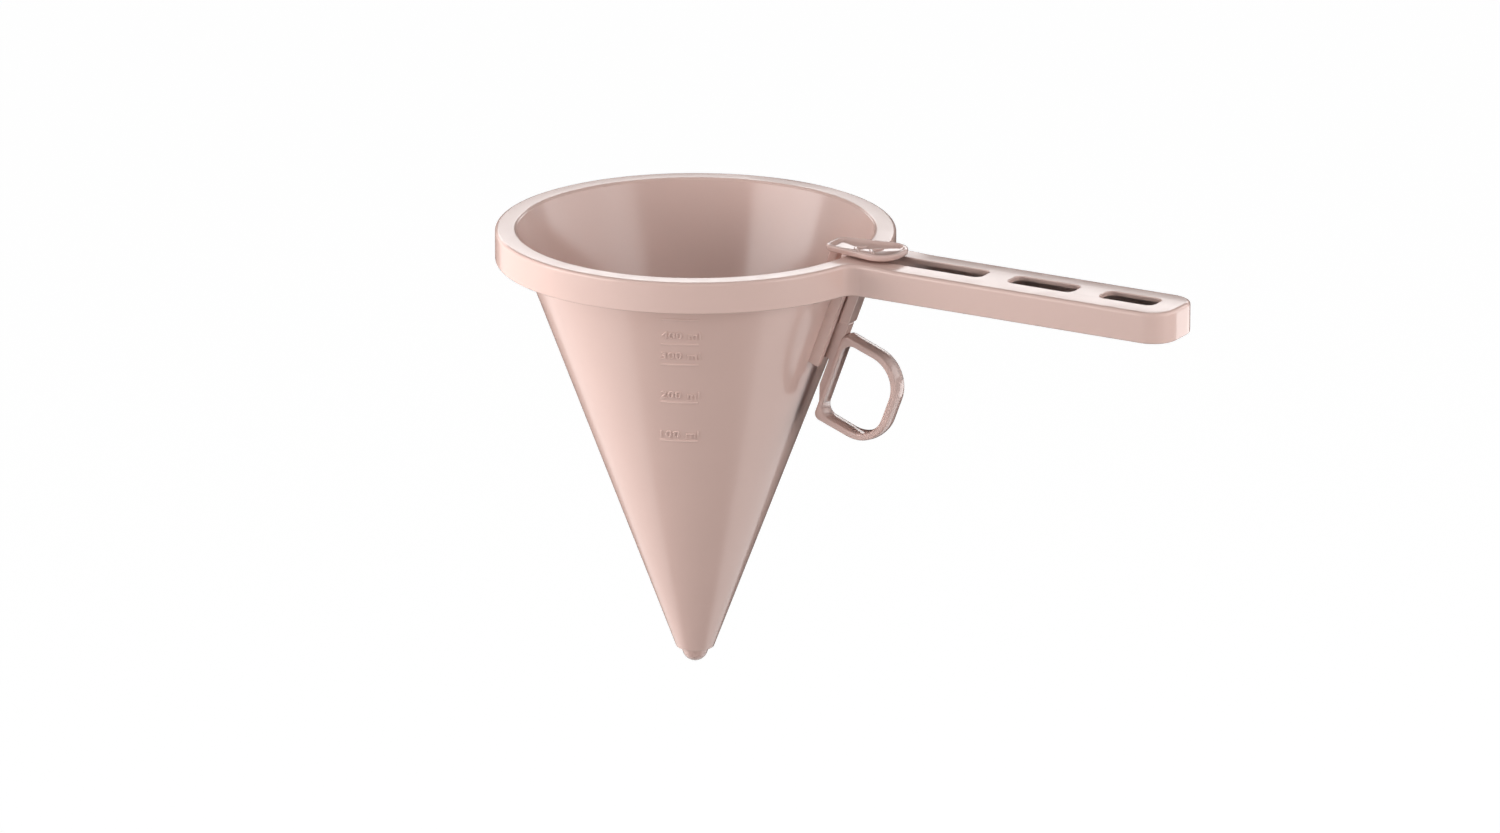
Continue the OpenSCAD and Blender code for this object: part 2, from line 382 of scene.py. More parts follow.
def camera_axes():
    """Right, up and back of the camera, without its roll."""
    back = Vector((
        math.sin(CAMERA_AZIMUTH) * math.cos(CAMERA_ELEVATION),
        -math.cos(CAMERA_AZIMUTH) * math.cos(CAMERA_ELEVATION),
        math.sin(CAMERA_ELEVATION),
    ))
    right = (-back).cross(Vector((0, 0, 1))).normalized()
    return right, back.cross(right), back


def make_camera():
    """The camera of the photo, as fitted to the object's outlines."""
    right, up, back = camera_axes()
    target = Vector((
        LOOK_REACH * math.cos(CAMERA_AZIMUTH), LOOK_REACH * math.sin(CAMERA_AZIMUTH), LOOK_Z
    ))
    rolled_right = right * math.cos(CAMERA_ROLL) + up * math.sin(CAMERA_ROLL)
    rolled_up = up * math.cos(CAMERA_ROLL) - right * math.sin(CAMERA_ROLL)
    data = bpy.data.cameras.new("camera")
    data.lens = CAMERA_LENS
    data.sensor_width = CAMERA_SENSOR
    camera = bpy.data.objects.new("camera", data)
    turn = Matrix((rolled_right, rolled_up, back)).transposed().to_4x4()
    camera.matrix_world = Matrix.Translation((target + back * CAMERA_AWAY) * MM) @ turn
    bpy.context.scene.collection.objects.link(camera)
    bpy.context.scene.camera = camera


# The plastics: colours, roughness, and the scale and strength of their flow, wear and ripple
BODY_COLOUR = (0.70, 0.495, 0.44)
BODY_ROUGHNESS = 0.17
PISTON_COLOUR = (0.66, 0.46, 0.41)
PISTON_ROUGHNESS = 0.09
PLASTIC_IOR = 1.5
FLOW_SCALE = 22
FLOW_DETAIL = 3
FLOW_DISTORTION = 0.6
FLOW_SHADE = 0.975
WEAR_SCALE = 160
WEAR_DETAIL = 4
WEAR_SPREAD = 0.03
RIPPLE_SCALE = 60
RIPPLE_DETAIL = 2
RIPPLE_STRENGTH = 0.02
RIPPLE_DEPTH = 0.0004
NOISE_LOW = 0.3
NOISE_HIGH = 0.7


def noise(nodes, links, scale, detail, distortion=0):
    """The value of a noise that is fixed to the object."""
    place = nodes.new("ShaderNodeTexCoord")
    texture = nodes.new("ShaderNodeTexNoise")
    texture.inputs["Scale"].default_value = scale
    texture.inputs["Detail"].default_value = detail
    texture.inputs["Distortion"].default_value = distortion
    links.new(place.outputs["Object"], texture.inputs["Vector"])
    return texture.outputs["Fac"]


def plastic(name, colour, roughness):
    """Glossy moulded plastic with faint flow marks and a fine unevenness."""
    material = bpy.data.materials.new(name)
    material.use_nodes = True
    nodes, links = material.node_tree.nodes, material.node_tree.links
    shader = nodes["Principled BSDF"]

    flow = noise(nodes, links, FLOW_SCALE, FLOW_DETAIL, FLOW_DISTORTION)
    tint = nodes.new("ShaderNodeValToRGB")
    tint.color_ramp.elements[0].position = NOISE_LOW
    tint.color_ramp.elements[1].position = NOISE_HIGH
    tint.color_ramp.elements[0].color = (*[c * FLOW_SHADE for c in colour], 1)
    tint.color_ramp.elements[1].color = (*colour, 1)
    links.new(flow, tint.inputs["Fac"])
    links.new(tint.outputs["Color"], shader.inputs["Base Color"])

    wear = noise(nodes, links, WEAR_SCALE, WEAR_DETAIL)
    gloss = nodes.new("ShaderNodeMapRange")
    gloss.inputs["From Min"].default_value = NOISE_LOW
    gloss.inputs["From Max"].default_value = NOISE_HIGH
    gloss.inputs["To Min"].default_value = roughness - WEAR_SPREAD
    gloss.inputs["To Max"].default_value = roughness + WEAR_SPREAD
    links.new(wear, gloss.inputs["Value"])
    links.new(gloss.outputs["Result"], shader.inputs["Roughness"])

    ripple = noise(nodes, links, RIPPLE_SCALE, RIPPLE_DETAIL)
    bump = nodes.new("ShaderNodeBump")
    bump.inputs["Strength"].default_value = RIPPLE_STRENGTH
    bump.inputs["Distance"].default_value = RIPPLE_DEPTH
    links.new(ripple, bump.inputs["Height"])
    links.new(bump.outputs["Normal"], shader.inputs["Normal"])
    shader.inputs["IOR"].default_value = PLASTIC_IOR
    return material


def root_geometry():
    """Centre of the blend between collar and handle, and the direction where it meets the collar."""
    y = HANDLE_W / 2 + ROOT_R
    x = math.sqrt((RIM_R + ROOT_R) ** 2 - y * y)
    return x, y, math.degrees(math.atan2(y, x))


def outline(inset, z):
    """The collar and the handle seen from above, drawn in by an inset."""
    blend_x, blend_y, meet = root_geometry()
    half = HANDLE_W / 2
    corner_x = HANDLE_END - HANDLE_END_R
    corner_y = half - HANDLE_END_R
    r_blend = ROOT_R + inset
    r_corner = HANDLE_END_R - inset
    points = arc(0, 0, RIM_R - inset, meet, 360 - meet, COLLAR_STEPS)[:-1]
    points += arc(blend_x, -blend_y, r_blend, 180 - meet, 90, CORNER_STEPS)
    points += arc(corner_x, -corner_y, r_corner, -90, 0, CORNER_STEPS)
    points += arc(corner_x, corner_y, r_corner, 0, 90, CORNER_STEPS)
    points += arc(blend_x, blend_y, r_blend, -90, meet - 180, CORNER_STEPS)[:-1]
    return [(x, y, z) for x, y in points]


def slot_outline(x0, x1, grow, z):
    """A slot seen from above, widened by an amount."""
    r = SLOT_R + grow
    y = SLOT_W / 2 - SLOT_R
    points = arc(x0 + SLOT_R, y, r, 90, 180, CORNER_STEPS // 2)
    points += arc(x0 + SLOT_R, -y, r, 180, 270, CORNER_STEPS // 2)
    points += arc(x1 - SLOT_R, -y, r, 270, 360, CORNER_STEPS // 2)
    points += arc(x1 - SLOT_R, y, r, 0, 90, CORNER_STEPS // 2)
    return [(x, y_, z) for x, y_ in points]


def rounding(r, steps=ROUND_STEPS):
    """Pairs that go from (0, r) to (r, 0) round a quarter circle: drawn in, below the top."""
    turns = [math.pi / 2 * i / steps for i in range(steps + 1)]
    return [(r - r * math.cos(t), r - r * math.sin(t)) for t in turns]


def slot_places():
    """Where the hanging, middle and arm slots start and end."""
    hang_1 = HANDLE_END - SLOT_MARGIN
    hang_0 = hang_1 - HANG_SLOT_L
    mid_1 = hang_0 - SLOT_BRIDGE
    mid_0 = mid_1 - MID_SLOT_L
    arm_1 = mid_0 - SLOT_BRIDGE
    return (hang_0, hang_1), (mid_0, mid_1), arm_1


def cone_profile():
    """Radius and height from the top face down inside the bowl, round the nozzle's lip and up."""
    wall_top = RIM_H - MOUTH_EDGE_R
    points = []
    for k in range(ROUND_STEPS):
        turn = math.pi / 2 * k / ROUND_STEPS
        r = MOUTH_R + MOUTH_EDGE_R * (1 - math.sin(turn))
        points.append((r, wall_top + MOUTH_EDGE_R * math.cos(turn)))
    points.append((inner_r(wall_top), wall_top))
    for share in QUARTERS:
        z = wall_top + (NOZZLE_Z + 2 * LIP_R - wall_top) * share
        points.append((inner_r(z), z))
    points.append((inner_r(NOZZLE_Z + LIP_R), NOZZLE_Z + LIP_R))
    points.append((NOZZLE_R + LIP_BEND, NOZZLE_Z + LIP_BEND))
    points.append((NOZZLE_R + LIP_R, NOZZLE_Z))
    lip_out = outer_r(NOZZLE_Z)
    points.append((lip_out - LIP_R, NOZZLE_Z))
    points.append((lip_out - LIP_BEND, NOZZLE_Z + LIP_BEND))
    points.append((outer_r(NOZZLE_Z + LIP_R), NOZZLE_Z + LIP_R))
    for share in QUARTERS:
        z = NOZZLE_Z + (CEILING_Z - NOZZLE_Z) * share
        points.append((outer_r(z), z))
    points.append((outer_r(CEILING_Z - NECK_R), CEILING_Z - NECK_R))
    points.append((outer_r(CEILING_Z - NECK_BEND_DROP) + NECK_BEND, CEILING_Z - NECK_BEND))
    points.append((outer_r(CEILING_Z) + NECK_R, CEILING_Z))
    return points


def arm_slot_cutter(arm_end):
    """The space of the slot in which the arm moves. Its cone end follows the cone's outer wall."""
    levels = [(0, -CUTTER_BELOW), (0, RIM_H - SLOT_EDGE_R)]
    levels += [(inset, RIM_H - drop) for inset, drop in rounding(SLOT_EDGE_R, EDGE_STEPS)[1:]]
    levels += [(SLOT_EDGE_R, RIM_H + CUTTER_ABOVE)]
    rings = []
    for grow, z in levels:
        half = SLOT_W / 2 + grow
        r = SLOT_R + grow
        near = outer_r(z) + CUTTER_GAP
        far = arc(arm_end - SLOT_R, r - half, r, 270, 360, SLOT_END_STEPS)
        far += arc(arm_end - SLOT_R, half - r, r, 0, 90, SLOT_END_STEPS)
        rings.append([(near, half, z), (near, -half, z)] + [(x, y, z) for x, y in far])
    skin = Skin()
    skin.solid(rings)
    return add_object("arm_slot_cutter", skin.mesh("arm_slot_cutter"))


def crown_handle(shell):
    """Arches the top of the handle a little across its width, from nothing at the collar."""
    start, whole = RIM_R + CROWN_START, RIM_R + CROWN_WHOLE
    cuts = [(0, y) for y in range(-CROWN_HALF_W, CROWN_HALF_W + 1, CROWN_CUT_Y)]
    cuts += [(x, 0) for x in range(int(start), int(whole), CROWN_CUT_X)]
    mesh = bmesh.new()
    mesh.from_mesh(shell.data)
    for x, y in cuts:
        near = [v for v in mesh.verts if v.co.x > (start - CROWN_LEAD) * MM]
        faces = {face for v in near for face in v.link_faces if v.co.z > (RIM_H - EDGE_R) * MM}
        edges = {edge for face in faces for edge in face.edges}
        normal = (1, 0, 0) if x else (0, 1, 0)
        bmesh.ops.bisect_plane(mesh, geom=[*near, *edges, *faces], dist=CUT_NEARNESS,
                               plane_co=Vector((x, y, 0)) * MM, plane_no=normal)
    for v in mesh.verts:
        if v.co.x > start * MM and v.co.z > CEILING_Z * MM:
            share = min((v.co.x / MM - start) / (whole - start), 1)
            height = min((v.co.z / MM - CEILING_Z) / (SHELL_WALL - EDGE_R), 1)
            ease = share * share * (3 - 2 * share) * height
            v.co.z -= HANDLE_CROWN * (v.co.y / MM / (HANDLE_W / 2)) ** 2 * ease * MM
    mesh.to_mesh(shell.data)
    mesh.free()


def make_body_shell(material):
    """Cone, collar and handle as the one moulding that they are."""
    hang, mid, arm_end = slot_places()
    skin = Skin()
    mouth, neck = skin.loft([circle(r, z) for r, z in cone_profile()])

    sides = [(inset, RIM_H - drop) for inset, drop in reversed(rounding(EDGE_R))]
    sides += [(inset, drop) for inset, drop in rounding(SKIRT_R, EDGE_STEPS)]
    inside = SHELL_WALL
    sides += [(inside - inset, drop) for inset, drop in reversed(rounding(SMALL_R, SMALL_STEPS))]
    sides += [(inside, CEILING_Z - SMALL_R), (inside + SMALL_BEND, CEILING_Z - SMALL_BEND)]
    sides += [(inside + SMALL_R, CEILING_Z)]
    top_edge, ceiling_edge = skin.loft([outline(inset, z) for inset, z in sides])

    top_holes, ceiling_holes = [mouth], [neck]
    for x0, x1 in (mid, hang):
        edge = reversed(rounding(SLOT_EDGE_R, EDGE_STEPS))
        levels = [(inset, RIM_H - drop) for inset, drop in edge]
        levels += [(0, CEILING_Z + SMALL_R), (SMALL_R, CEILING_Z)]
        hole, tube = skin.loft([slot_outline(x0, x1, grow, z) for grow, z in levels])
        top_holes.append(hole)
        ceiling_holes.append(tube)

    skin.fill(top_edge, top_holes)
    skin.fill(ceiling_edge, ceiling_holes)
    shell = add_object("body_shell", skin.mesh("body_shell"))

    cutter = arm_slot_cutter(arm_end)
    cut = shell.modifiers.new("arm_slot", "BOOLEAN")
    cut.operation = "DIFFERENCE"
    cut.solver = "EXACT"
    cut.object = cutter
    apply_modifiers(shell)
    bpy.data.objects.remove(cutter)
    crown_handle(shell)
    shade(shell)
    return finish_piece(shell, BODY, BODY_SLOT, material, "funnel_cone", "rim_collar", "handle")


def make_root_walls(material):
    """The collar's skirt carries on across the root of the handle, on both sides of the slot."""
    _, _, meet = root_geometry()
    start = math.degrees(math.asin(SLOT_W / 2 / RIM_R))
    skin = Skin()
    sweep = meet + ROOT_WALL_PAST - start
    inner, outer = RIM_R - SHELL_WALL, RIM_R - ROOT_WALL_IN
    top = CEILING_Z + ROOT_WALL_SINK
    section = [(inner, SMALL_R), (inner, top), (outer, top), (outer, SMALL_R)]
    for side in (1, -1):
        shares = [i / ROOT_WALL_STEPS for i in range(ROOT_WALL_STEPS + 1)]
        turns = [side * (start + sweep * share) for share in shares]
        rings = []
        for turn in turns:
            c, s = math.cos(math.radians(turn)), math.sin(math.radians(turn))
            rings.append([(r * c, r * s, z) for r, z in section])
        skin.solid(rings)
    walls = add_object("root_walls", skin.mesh("root_walls"))
    shade(walls)
    return finish_piece(walls, BODY, BODY_SLOT, material)


# The volume marks: their drops below the collar's top, the numbers, and where those stand
MARK_DROPS = (18, 28.7, 37.5, 54, 70.9)
MARK_L = 14.0
MARK_W = 1.0
MARK_OUT = 0.3
MARK_SINK = 0.4
MARK_STEPS = 12
MARK_ROUND_STEPS = 10
MARK_TURN = math.radians(-58.5)
NUMBERS = {"400 ml": 24.8, "300 ml": 33.6, "200 ml": 50.7, "100 ml": 68.0}
NUMBER_TURN = math.radians(-57.8)
NUMBER_L = 14.7
NUMBER_H = 3.4
# Shares of the height of the letters
NUMBER_SPACING = 1.1
NUMBER_THINNER = 0.015
NUMBER_CORE = 0.02
NUMBER_ROUND = 0.045
NUMBER_ROUND_STEPS = 2


def on_cone(turn, z, out):
    """A point on the cone's outer wall in a direction, moved out square to the wall."""
    r = outer_r(z) + out * math.cos(TILT)
    return (r * math.cos(turn), r * math.sin(turn), z - out * math.sin(TILT))


def mark_rings(drop):
    """Sections of a raised mark that runs round the cone, with a round back."""
    z = RIM_H - drop
    half = MARK_W / 2
    back = [(dz * half, out * MARK_OUT) for dz, out in arc(0, 0, 1, 180, 0, MARK_ROUND_STEPS)]
    section = [(-half, -MARK_SINK), *back, (half, -MARK_SINK)]
    rings = []
    for i in range(MARK_STEPS + 1):
        turn = MARK_TURN - MARK_L / outer_r(z) * (1 - i / MARK_STEPS)
        rings.append([on_cone(turn, z + dz, out) for dz, out in section])
    return rings


def number_mesh(text, drop):
    """Raised lettering, bent onto the cone."""
    curve = bpy.data.curves.new("number", "FONT")
    curve.body = text
    curve.size = 1
    curve.space_character = NUMBER_SPACING
    curve.offset = -NUMBER_THINNER
    curve.extrude = NUMBER_CORE
    curve.bevel_depth = NUMBER_ROUND
    curve.bevel_resolution = NUMBER_ROUND_STEPS
    letters = bpy.data.objects.new("number", curve)
    bpy.context.scene.collection.objects.link(letters)
    depsgraph = bpy.context.evaluated_depsgraph_get()
    mesh = bpy.data.meshes.new_from_object(letters.evaluated_get(depsgraph))
    bpy.data.objects.remove(letters)
    low = Vector(map(min, *[v.co for v in mesh.vertices]))
    high = Vector(map(max, *[v.co for v in mesh.vertices]))
    for vertex in mesh.vertices:
        across = (vertex.co.x - high.x) / (high.x - low.x) * NUMBER_L
        up = (vertex.co.y - (low.y + high.y) / 2) / (high.y - low.y) * NUMBER_H
        out = MARK_OUT * vertex.co.z / high.z
        z = RIM_H - drop + up * math.cos(TILT)
        vertex.co = Vector(on_cone(NUMBER_TURN + across / outer_r(z), z, out)) * MM
    return mesh


def make_volume_scale(material):
    """The raised marks on the cone, and the numbers beside four of them."""
    skin = Skin()
    for drop in MARK_DROPS:
        skin.solid(mark_rings(drop))
    marks = add_object("volume_marks", skin.mesh("volume_marks"))
    shade(marks)
    finish_piece(marks, BODY, BODY_SLOT, material)
    for text, drop in NUMBERS.items():
        name = "number_" + text.split()[0]
        number = add_object(name, number_mesh(text, drop))
        shade(number)
        finish_piece(number, BODY, BODY_SLOT, material)


def make_guide_rail(name, side, material):
    """An upright on the cone with a lip that reaches in over the runner."""
    y_in = side * (RUNNER_W / 2 + SLIDE_GAP)
    y_out = y_in + side * RAIL_T
    y_lip = y_in - side * LIP_IN
    section = [(-RAIL_SINK, y_in), (-RAIL_SINK, y_out), (LIP_N1, y_out), (LIP_N1, y_lip),
               (LIP_N0, y_lip), (LIP_N0, y_in)]
    skin = Skin()
    skin.solid([[on_slope(n, s, y) for n, y in section] for s in (RAIL_TOP, RAIL_END)])
    rail = add_object(name + "_skin", skin.mesh(name))
    bevel(rail, RAIL_EDGE_R)
    shade(rail)
    return finish_piece(rail, BODY, BODY_SLOT, material, name)


def pad_outline(inset, z):
    """Outline of the thumb pad: the hull of four corner circles, drawn in by an inset."""
    corners = []
    for side in (-1, 1):
        corners.append((pad_low[0] + PAD_IN_R, side * (PAD_W_IN / 2 - PAD_IN_R), PAD_IN_R))
        corners.append((pad_high[0] - PAD_OUT_R, side * (PAD_W_OUT / 2 - PAD_OUT_R), PAD_OUT_R))
    points = []
    for i in range(PAD_STEPS):
        turn = 2 * math.pi * (i + 0.5) / PAD_STEPS
        c, s = math.cos(turn), math.sin(turn)
        x, y, r = max(corners, key=lambda corner: corner[0] * c + corner[1] * s + corner[2])
        points.append((x + (r - inset) * c, y + (r - inset) * s, z))
    return points


def chevron_arm(tip, side):
    """Rings of a low rounded ridge that runs out from a chevron's tip and fades."""
    turn = CHEVRON_TURN * side
    along = Vector((math.cos(turn), math.sin(turn), 0))
    across = Vector((-along.y, along.x, 0))
    turns = [math.pi * k / CHEVRON_STEPS for k in range(CHEVRON_STEPS + 1)]
    rings = []
    for share in CHEVRON_SHARES:
        middle = tip + along * (CHEVRON_L * share)
        left = 1 - share ** 4
        height = CHEVRON_H * math.sqrt(max(left, CHEVRON_END_H))
        width = CHEVRON_HALF_W * math.sqrt(max(left, CHEVRON_END_W))
        rings.append([tuple(middle + across * (width * math.cos(t))
                            + Vector((0, 0, height * math.sin(t) - CHEVRON_SINK))) for t in turns])
    return rings


def make_thumb_pad(material):
    """A pad with a raised, rounded edge and two chevrons in its dish."""
    bottom, top = pad_low[2], pad_high[2]
    levels = [(inset, bottom + rise) for inset, rise in PAD_FOOT]
    levels += [(inset, top - drop) for inset, drop in (*PAD_LIP_OUTSIDE, *PAD_LIP_INSIDE)]
    rings = [pad_outline(inset, z) for inset, z in levels]
    lip_end = rings[-1]
    middle_x = (pad_low[0] + pad_high[0]) / 2
    for share, drop in PAD_DISH:
        rings.append([(middle_x + (x - middle_x) * share, y * share, top - drop)
                      for x, y, _ in lip_end])
    skin = Skin()
    skin.solid(rings)
    for start in CHEVRON_STARTS:
        for side in (-1, 1):
            skin.solid(chevron_arm(Vector((pad_low[0] + start, 0, top - CHEVRON_DROP)), side))
    pad = add_object("thumb_pad_skin", skin.mesh("thumb_pad"))
    shade(pad, PAD_SHARP)
    return finish_piece(pad, PISTON, PISTON_SLOT, material, "thumb_pad")


def level_s(n, z):
    """How far down the slope a line square to it at n meets a height."""
    return (RIM_H - n * math.sin(TILT) - z) / math.cos(TILT)


def make_stem(material):
    """The square stem from the pad down to the stopper, level at the top and square below."""
    top = pad_low[2] + INTO_PAD
    end = level_s(STEM_N1, stopper_high[2] - INTO_STOPPER)
    y = STEM_W / 2
    corners = [(STEM_N0, -y), (STEM_N1, -y), (STEM_N1, y), (STEM_N0, y)]
    skin = Skin()
    skin.solid([[on_slope(n, level_s(n, top), y_) for n, y_ in corners],
                [on_slope(n, end, y_) for n, y_ in corners]])
    stem = add_object("piston_stem_skin", skin.mesh("piston_stem"))
    bevel(stem, STEM_EDGE_R)
    shade(stem)
    return finish_piece(stem, PISTON, PISTON_SLOT, material, "piston_stem")


def make_stopper(material):
    """A plug with the cone's own taper and a round nose."""
    nose_z = stopper_low[2] + NOSE_R
    top_z = stopper_high[2]
    gap = STOPPER_GAP / math.cos(TILT)
    profile = []
    for i in range(1, NOSE_STEPS + 1):
        turn = (math.pi / 2 - TILT) * i / NOSE_STEPS
        profile.append((NOSE_R * math.sin(turn), nose_z - NOSE_R * math.cos(turn)))
    edge_z = top_z - STOPPER_EDGE_DROP
    profile.append((inner_r(edge_z) - gap, edge_z))
    profile.append((inner_r(top_z) - gap - STOPPER_BEND, top_z - STOPPER_BEND_DROP))
    profile.append((inner_r(top_z) - gap - STOPPER_EDGE_R, top_z))
    skin = Skin()
    skin.solid([circle(r, z, STOPPER_STEPS) for r, z in profile])
    stopper = add_object("stopper_skin", skin.mesh("stopper"))
    shade(stopper)
    return finish_piece(stopper, PISTON, PISTON_SLOT, material, "stopper")


def slab(skin, outline_ns, width):
    """A plate with an outline in the slope frame, centred on the handle's middle plane."""
    skin.solid([[on_slope(n, s, y) for n, s in outline_ns] for y in (-width / 2, width / 2)])


def make_arm(material):
    """The arm that passes through the handle's first slot, with a rounded foot."""
    top = pad_low[2] + INTO_PAD
    r = ARM_FOOT_R
    foot = arc(ARM_N1 - r, ARM_END - r, r, 0, ARM_FOOT_TURN, EDGE_STEPS)
    skin = Skin()
    slab(skin, [(ARM_N0, level_s(ARM_N0, top)), (ARM_N1, level_s(ARM_N1, top)), *foot,
                (ARM_N0, ARM_END + r)], ARM_W)
    arm = add_object("slide_arm_skin", skin.mesh("slide_arm"))
    bevel(arm, ARM_EDGE_R)
    shade(arm)
    return finish_piece(arm, PISTON, PISTON_SLOT, material, "slide_arm")


def make_runner(material):
    """The plate that the rails hold, its web, the neck to the ring and the gusset."""
    plate = Skin()
    slab(plate, [(SLIDE_GAP, RUNNER_TOP), (RUNNER_N1, RUNNER_TOP), (RUNNER_N1, RUNNER_END),
                 (SLIDE_GAP, RUNNER_END)], RUNNER_W)

    web_in, web_out = RUNNER_N1 - WEB_SINK, RING_N0 + WEB_SINK
    web_arm, web_end = ARM_N0 + WEB_INTO_ARM, RUNNER_END - WEB_END_R
    web = Skin()
    slab(web, [(web_in, RUNNER_TOP), (web_arm, RUNNER_TOP), (web_arm, ARM_END - WEB_SHOULDER),
               (web_out, ARM_END), (web_out, RING_TOP + WEB_NECK), (web_out, web_end),
               *arc(WEB_END_N, web_end, WEB_END_R, 0, 90, EDGE_STEPS),
               (web_in, RUNNER_END)], WEB_W)

    back, front = RING_N0 - GUSSET_T, RING_N0 + GUSSET_SINK
    gusset = Skin()
    slab(gusset, [(back, RUNNER_END - GUSSET_INSET), (front, RUNNER_END - GUSSET_INSET),
                  (front, RING_BOTTOM - GUSSET_INSET),
                  (RING_N0 - GUSSET_TIP_T, RING_BOTTOM - GUSSET_TIP),
                  (back, (RUNNER_END + RING_BOTTOM) / 2)], GUSSET_W)

    pieces = [("plate", plate, RUNNER_EDGE_R), ("web", web, WEB_EDGE_R),
              ("gusset", gusset, GUSSET_EDGE_R)]
    parts = []
    for name, skin, width in pieces:
        part = add_object(name, skin.mesh(name))
        bevel(part, width)
        parts.append(part)
    runner = join("slide_runner_skin", parts)
    shade(runner)
    return finish_piece(runner, PISTON, PISTON_SLOT, material, "slide_runner")


def join(name, parts):
    """One object from several, all of which lie at the origin."""
    merged = bmesh.new()
    for part in parts:
        merged.from_mesh(part.data)
        bpy.data.objects.remove(part)
    mesh = bpy.data.meshes.new(name)
    merged.to_mesh(mesh)
    merged.free()
    return add_object(name, mesh)


def ring_outline(side_margin, margin, corner_r):
    """The ring's outline in the slope frame, drawn in, with the straight side on its own."""
    n0, n1 = RING_N0 + side_margin, RING_N2 - margin
    s0, s1 = RING_TOP + margin, RING_BOTTOM - margin
    top_r, bottom_r = RING_TOP_R - margin, RING_BOTTOM_R - margin
    points = arc(n1 - top_r, s0 + top_r, top_r, -90, 0, CORNER_STEPS)
    points += arc(n1 - bottom_r, s1 - bottom_r, bottom_r, 0, 90, CORNER_STEPS)
    points += arc(n0 + corner_r, s1 - corner_r, corner_r, 90, 180, CORNER_STEPS)
    points += arc(n0 + corner_r, s0 + corner_r, corner_r, 180, 270, CORNER_STEPS)
    return points


def ring_section():
    """Half of the band's section: shares of its half thickness, rises in mm, and places across."""
    flat = RING_W / 2 - RING_EDGE_R
    half = []
    for i in range(2 * RING_CROWN_STEPS + 1):
        y = flat * (1 - i / RING_CROWN_STEPS)
        half.append((1, RING_CROWN * (0.5 - (2 * y / RING_W) ** 2), y))
    rise = half[-1][1]
    for i in range(1, RING_EDGE_STEPS):
        turn = math.pi / 2 * i / RING_EDGE_STEPS
        sink = RING_EDGE_R * (1 - math.cos(turn))
        half.append((1, rise - sink, -flat - RING_EDGE_R * math.sin(turn)))
    return half


def make_ring(material):
    """The finger ring, a crowned band swept round a D."""
    half = ring_section()
    edge = half[2 * RING_CROWN_STEPS + 1:]
    section = half + [(-share, -rise, y) for share, rise, y in reversed(half)]
    section += [(-share, -rise, -y) for share, rise, y in edge]
    section += [(share, rise, -y) for share, rise, y in reversed(edge)]
    outside = ring_outline(0, 0, RING_IN_R)
    inside = ring_outline(RING_SIDE, RING_BAND, RING_HOLE_R)
    skin = Skin()
    made = []
    for (n_out, s_out), (n_in, s_in) in zip(outside, inside):
        n, s = (n_out + n_in) / 2, (s_out + s_in) / 2
        half_t = math.hypot(n_out - n_in, s_out - s_in) / 2
        to_n, to_s = (n_out - n) / half_t, (s_out - s) / half_t
        points = []
        for share, rise, y in section:
            t = share * half_t + rise
            points.append(on_slope(n + to_n * t, s + to_s * t, y))
        made.append(skin.ring(points))
    for a, b in zip(made, made[1:] + made[:1]):
        skin.band(a, b)
    ring = add_object("finger_ring_skin", skin.mesh("finger_ring"))
    ring.data.shade_smooth()
    return finish_piece(ring, PISTON, PISTON_SLOT, material, "finger_ring")


# The studio: a floor far below, an even white surround, soft lamps and dark cards
FLOOR_Z = -900.0
FLOOR_SIZE = 40000.0
FLOOR_GREY = (0.2, 0.2, 0.2, 1)
FLOOR_GLOW = 0.95
CARD_GREY = (0.005, 0.005, 0.005, 1)
SURROUND_LIGHT = 0.2
LAMP_MIDDLE = Vector((0, 0, -40))
HANDLE_CARD_START = 7.0
HANDLE_CARD_Z = -0.5


def background_share(nodes, links, strength):
    """The strength for rays that see the background: camera, glossy and transmission rays."""
    path = nodes.new("ShaderNodeLightPath")
    seen = path.outputs["Is Camera Ray"]
    for kind in ("Is Glossy Ray", "Is Transmission Ray"):
        either = nodes.new("ShaderNodeMath")
        either.operation = "MAXIMUM"
        links.new(seen, either.inputs[0])
        links.new(path.outputs[kind], either.inputs[1])
        seen = either.outputs["Value"]
    share = nodes.new("ShaderNodeMapRange")
    share.inputs["To Min"].default_value, share.inputs["To Max"].default_value = strength
    links.new(seen, share.inputs["Value"])
    return share.outputs["Result"]


def make_floor():
    """A floor that looks white to the camera and is a dull grey to the light."""
    half = FLOOR_SIZE / 2 * MM
    z = FLOOR_Z * MM
    mesh = bpy.data.meshes.new("floor")
    mesh.from_pydata([(-half, -half, z), (half, -half, z), (half, half, z), (-half, half, z)], [],
                     [(0, 1, 2, 3)])
    floor = add_object("floor", mesh)
    material = bpy.data.materials.new("floor_white")
    material.use_nodes = True
    nodes, links = material.node_tree.nodes, material.node_tree.links
    nodes.clear()
    out = nodes.new("ShaderNodeOutputMaterial")
    diffuse = nodes.new("ShaderNodeBsdfDiffuse")
    diffuse.inputs["Color"].default_value = FLOOR_GREY
    glow = nodes.new("ShaderNodeEmission")
    links.new(background_share(nodes, links, (0, FLOOR_GLOW)), glow.inputs["Strength"])
    both = nodes.new("ShaderNodeAddShader")
    links.new(diffuse.outputs["BSDF"], both.inputs[0])
    links.new(glow.outputs["Emission"], both.inputs[1])
    links.new(both.outputs["Shader"], out.inputs["Surface"])
    mesh.materials.append(material)


def make_world():
    """A surround that looks white and gives little light."""
    world = bpy.data.worlds.new("surround")
    world.use_nodes = True
    nodes, links = world.node_tree.nodes, world.node_tree.links
    seen = background_share(nodes, links, (SURROUND_LIGHT, 1))
    links.new(seen, nodes["Background"].inputs["Strength"])
    nodes["Background"].inputs["Color"].default_value = (1, 1, 1, 1)
    bpy.context.scene.world = world


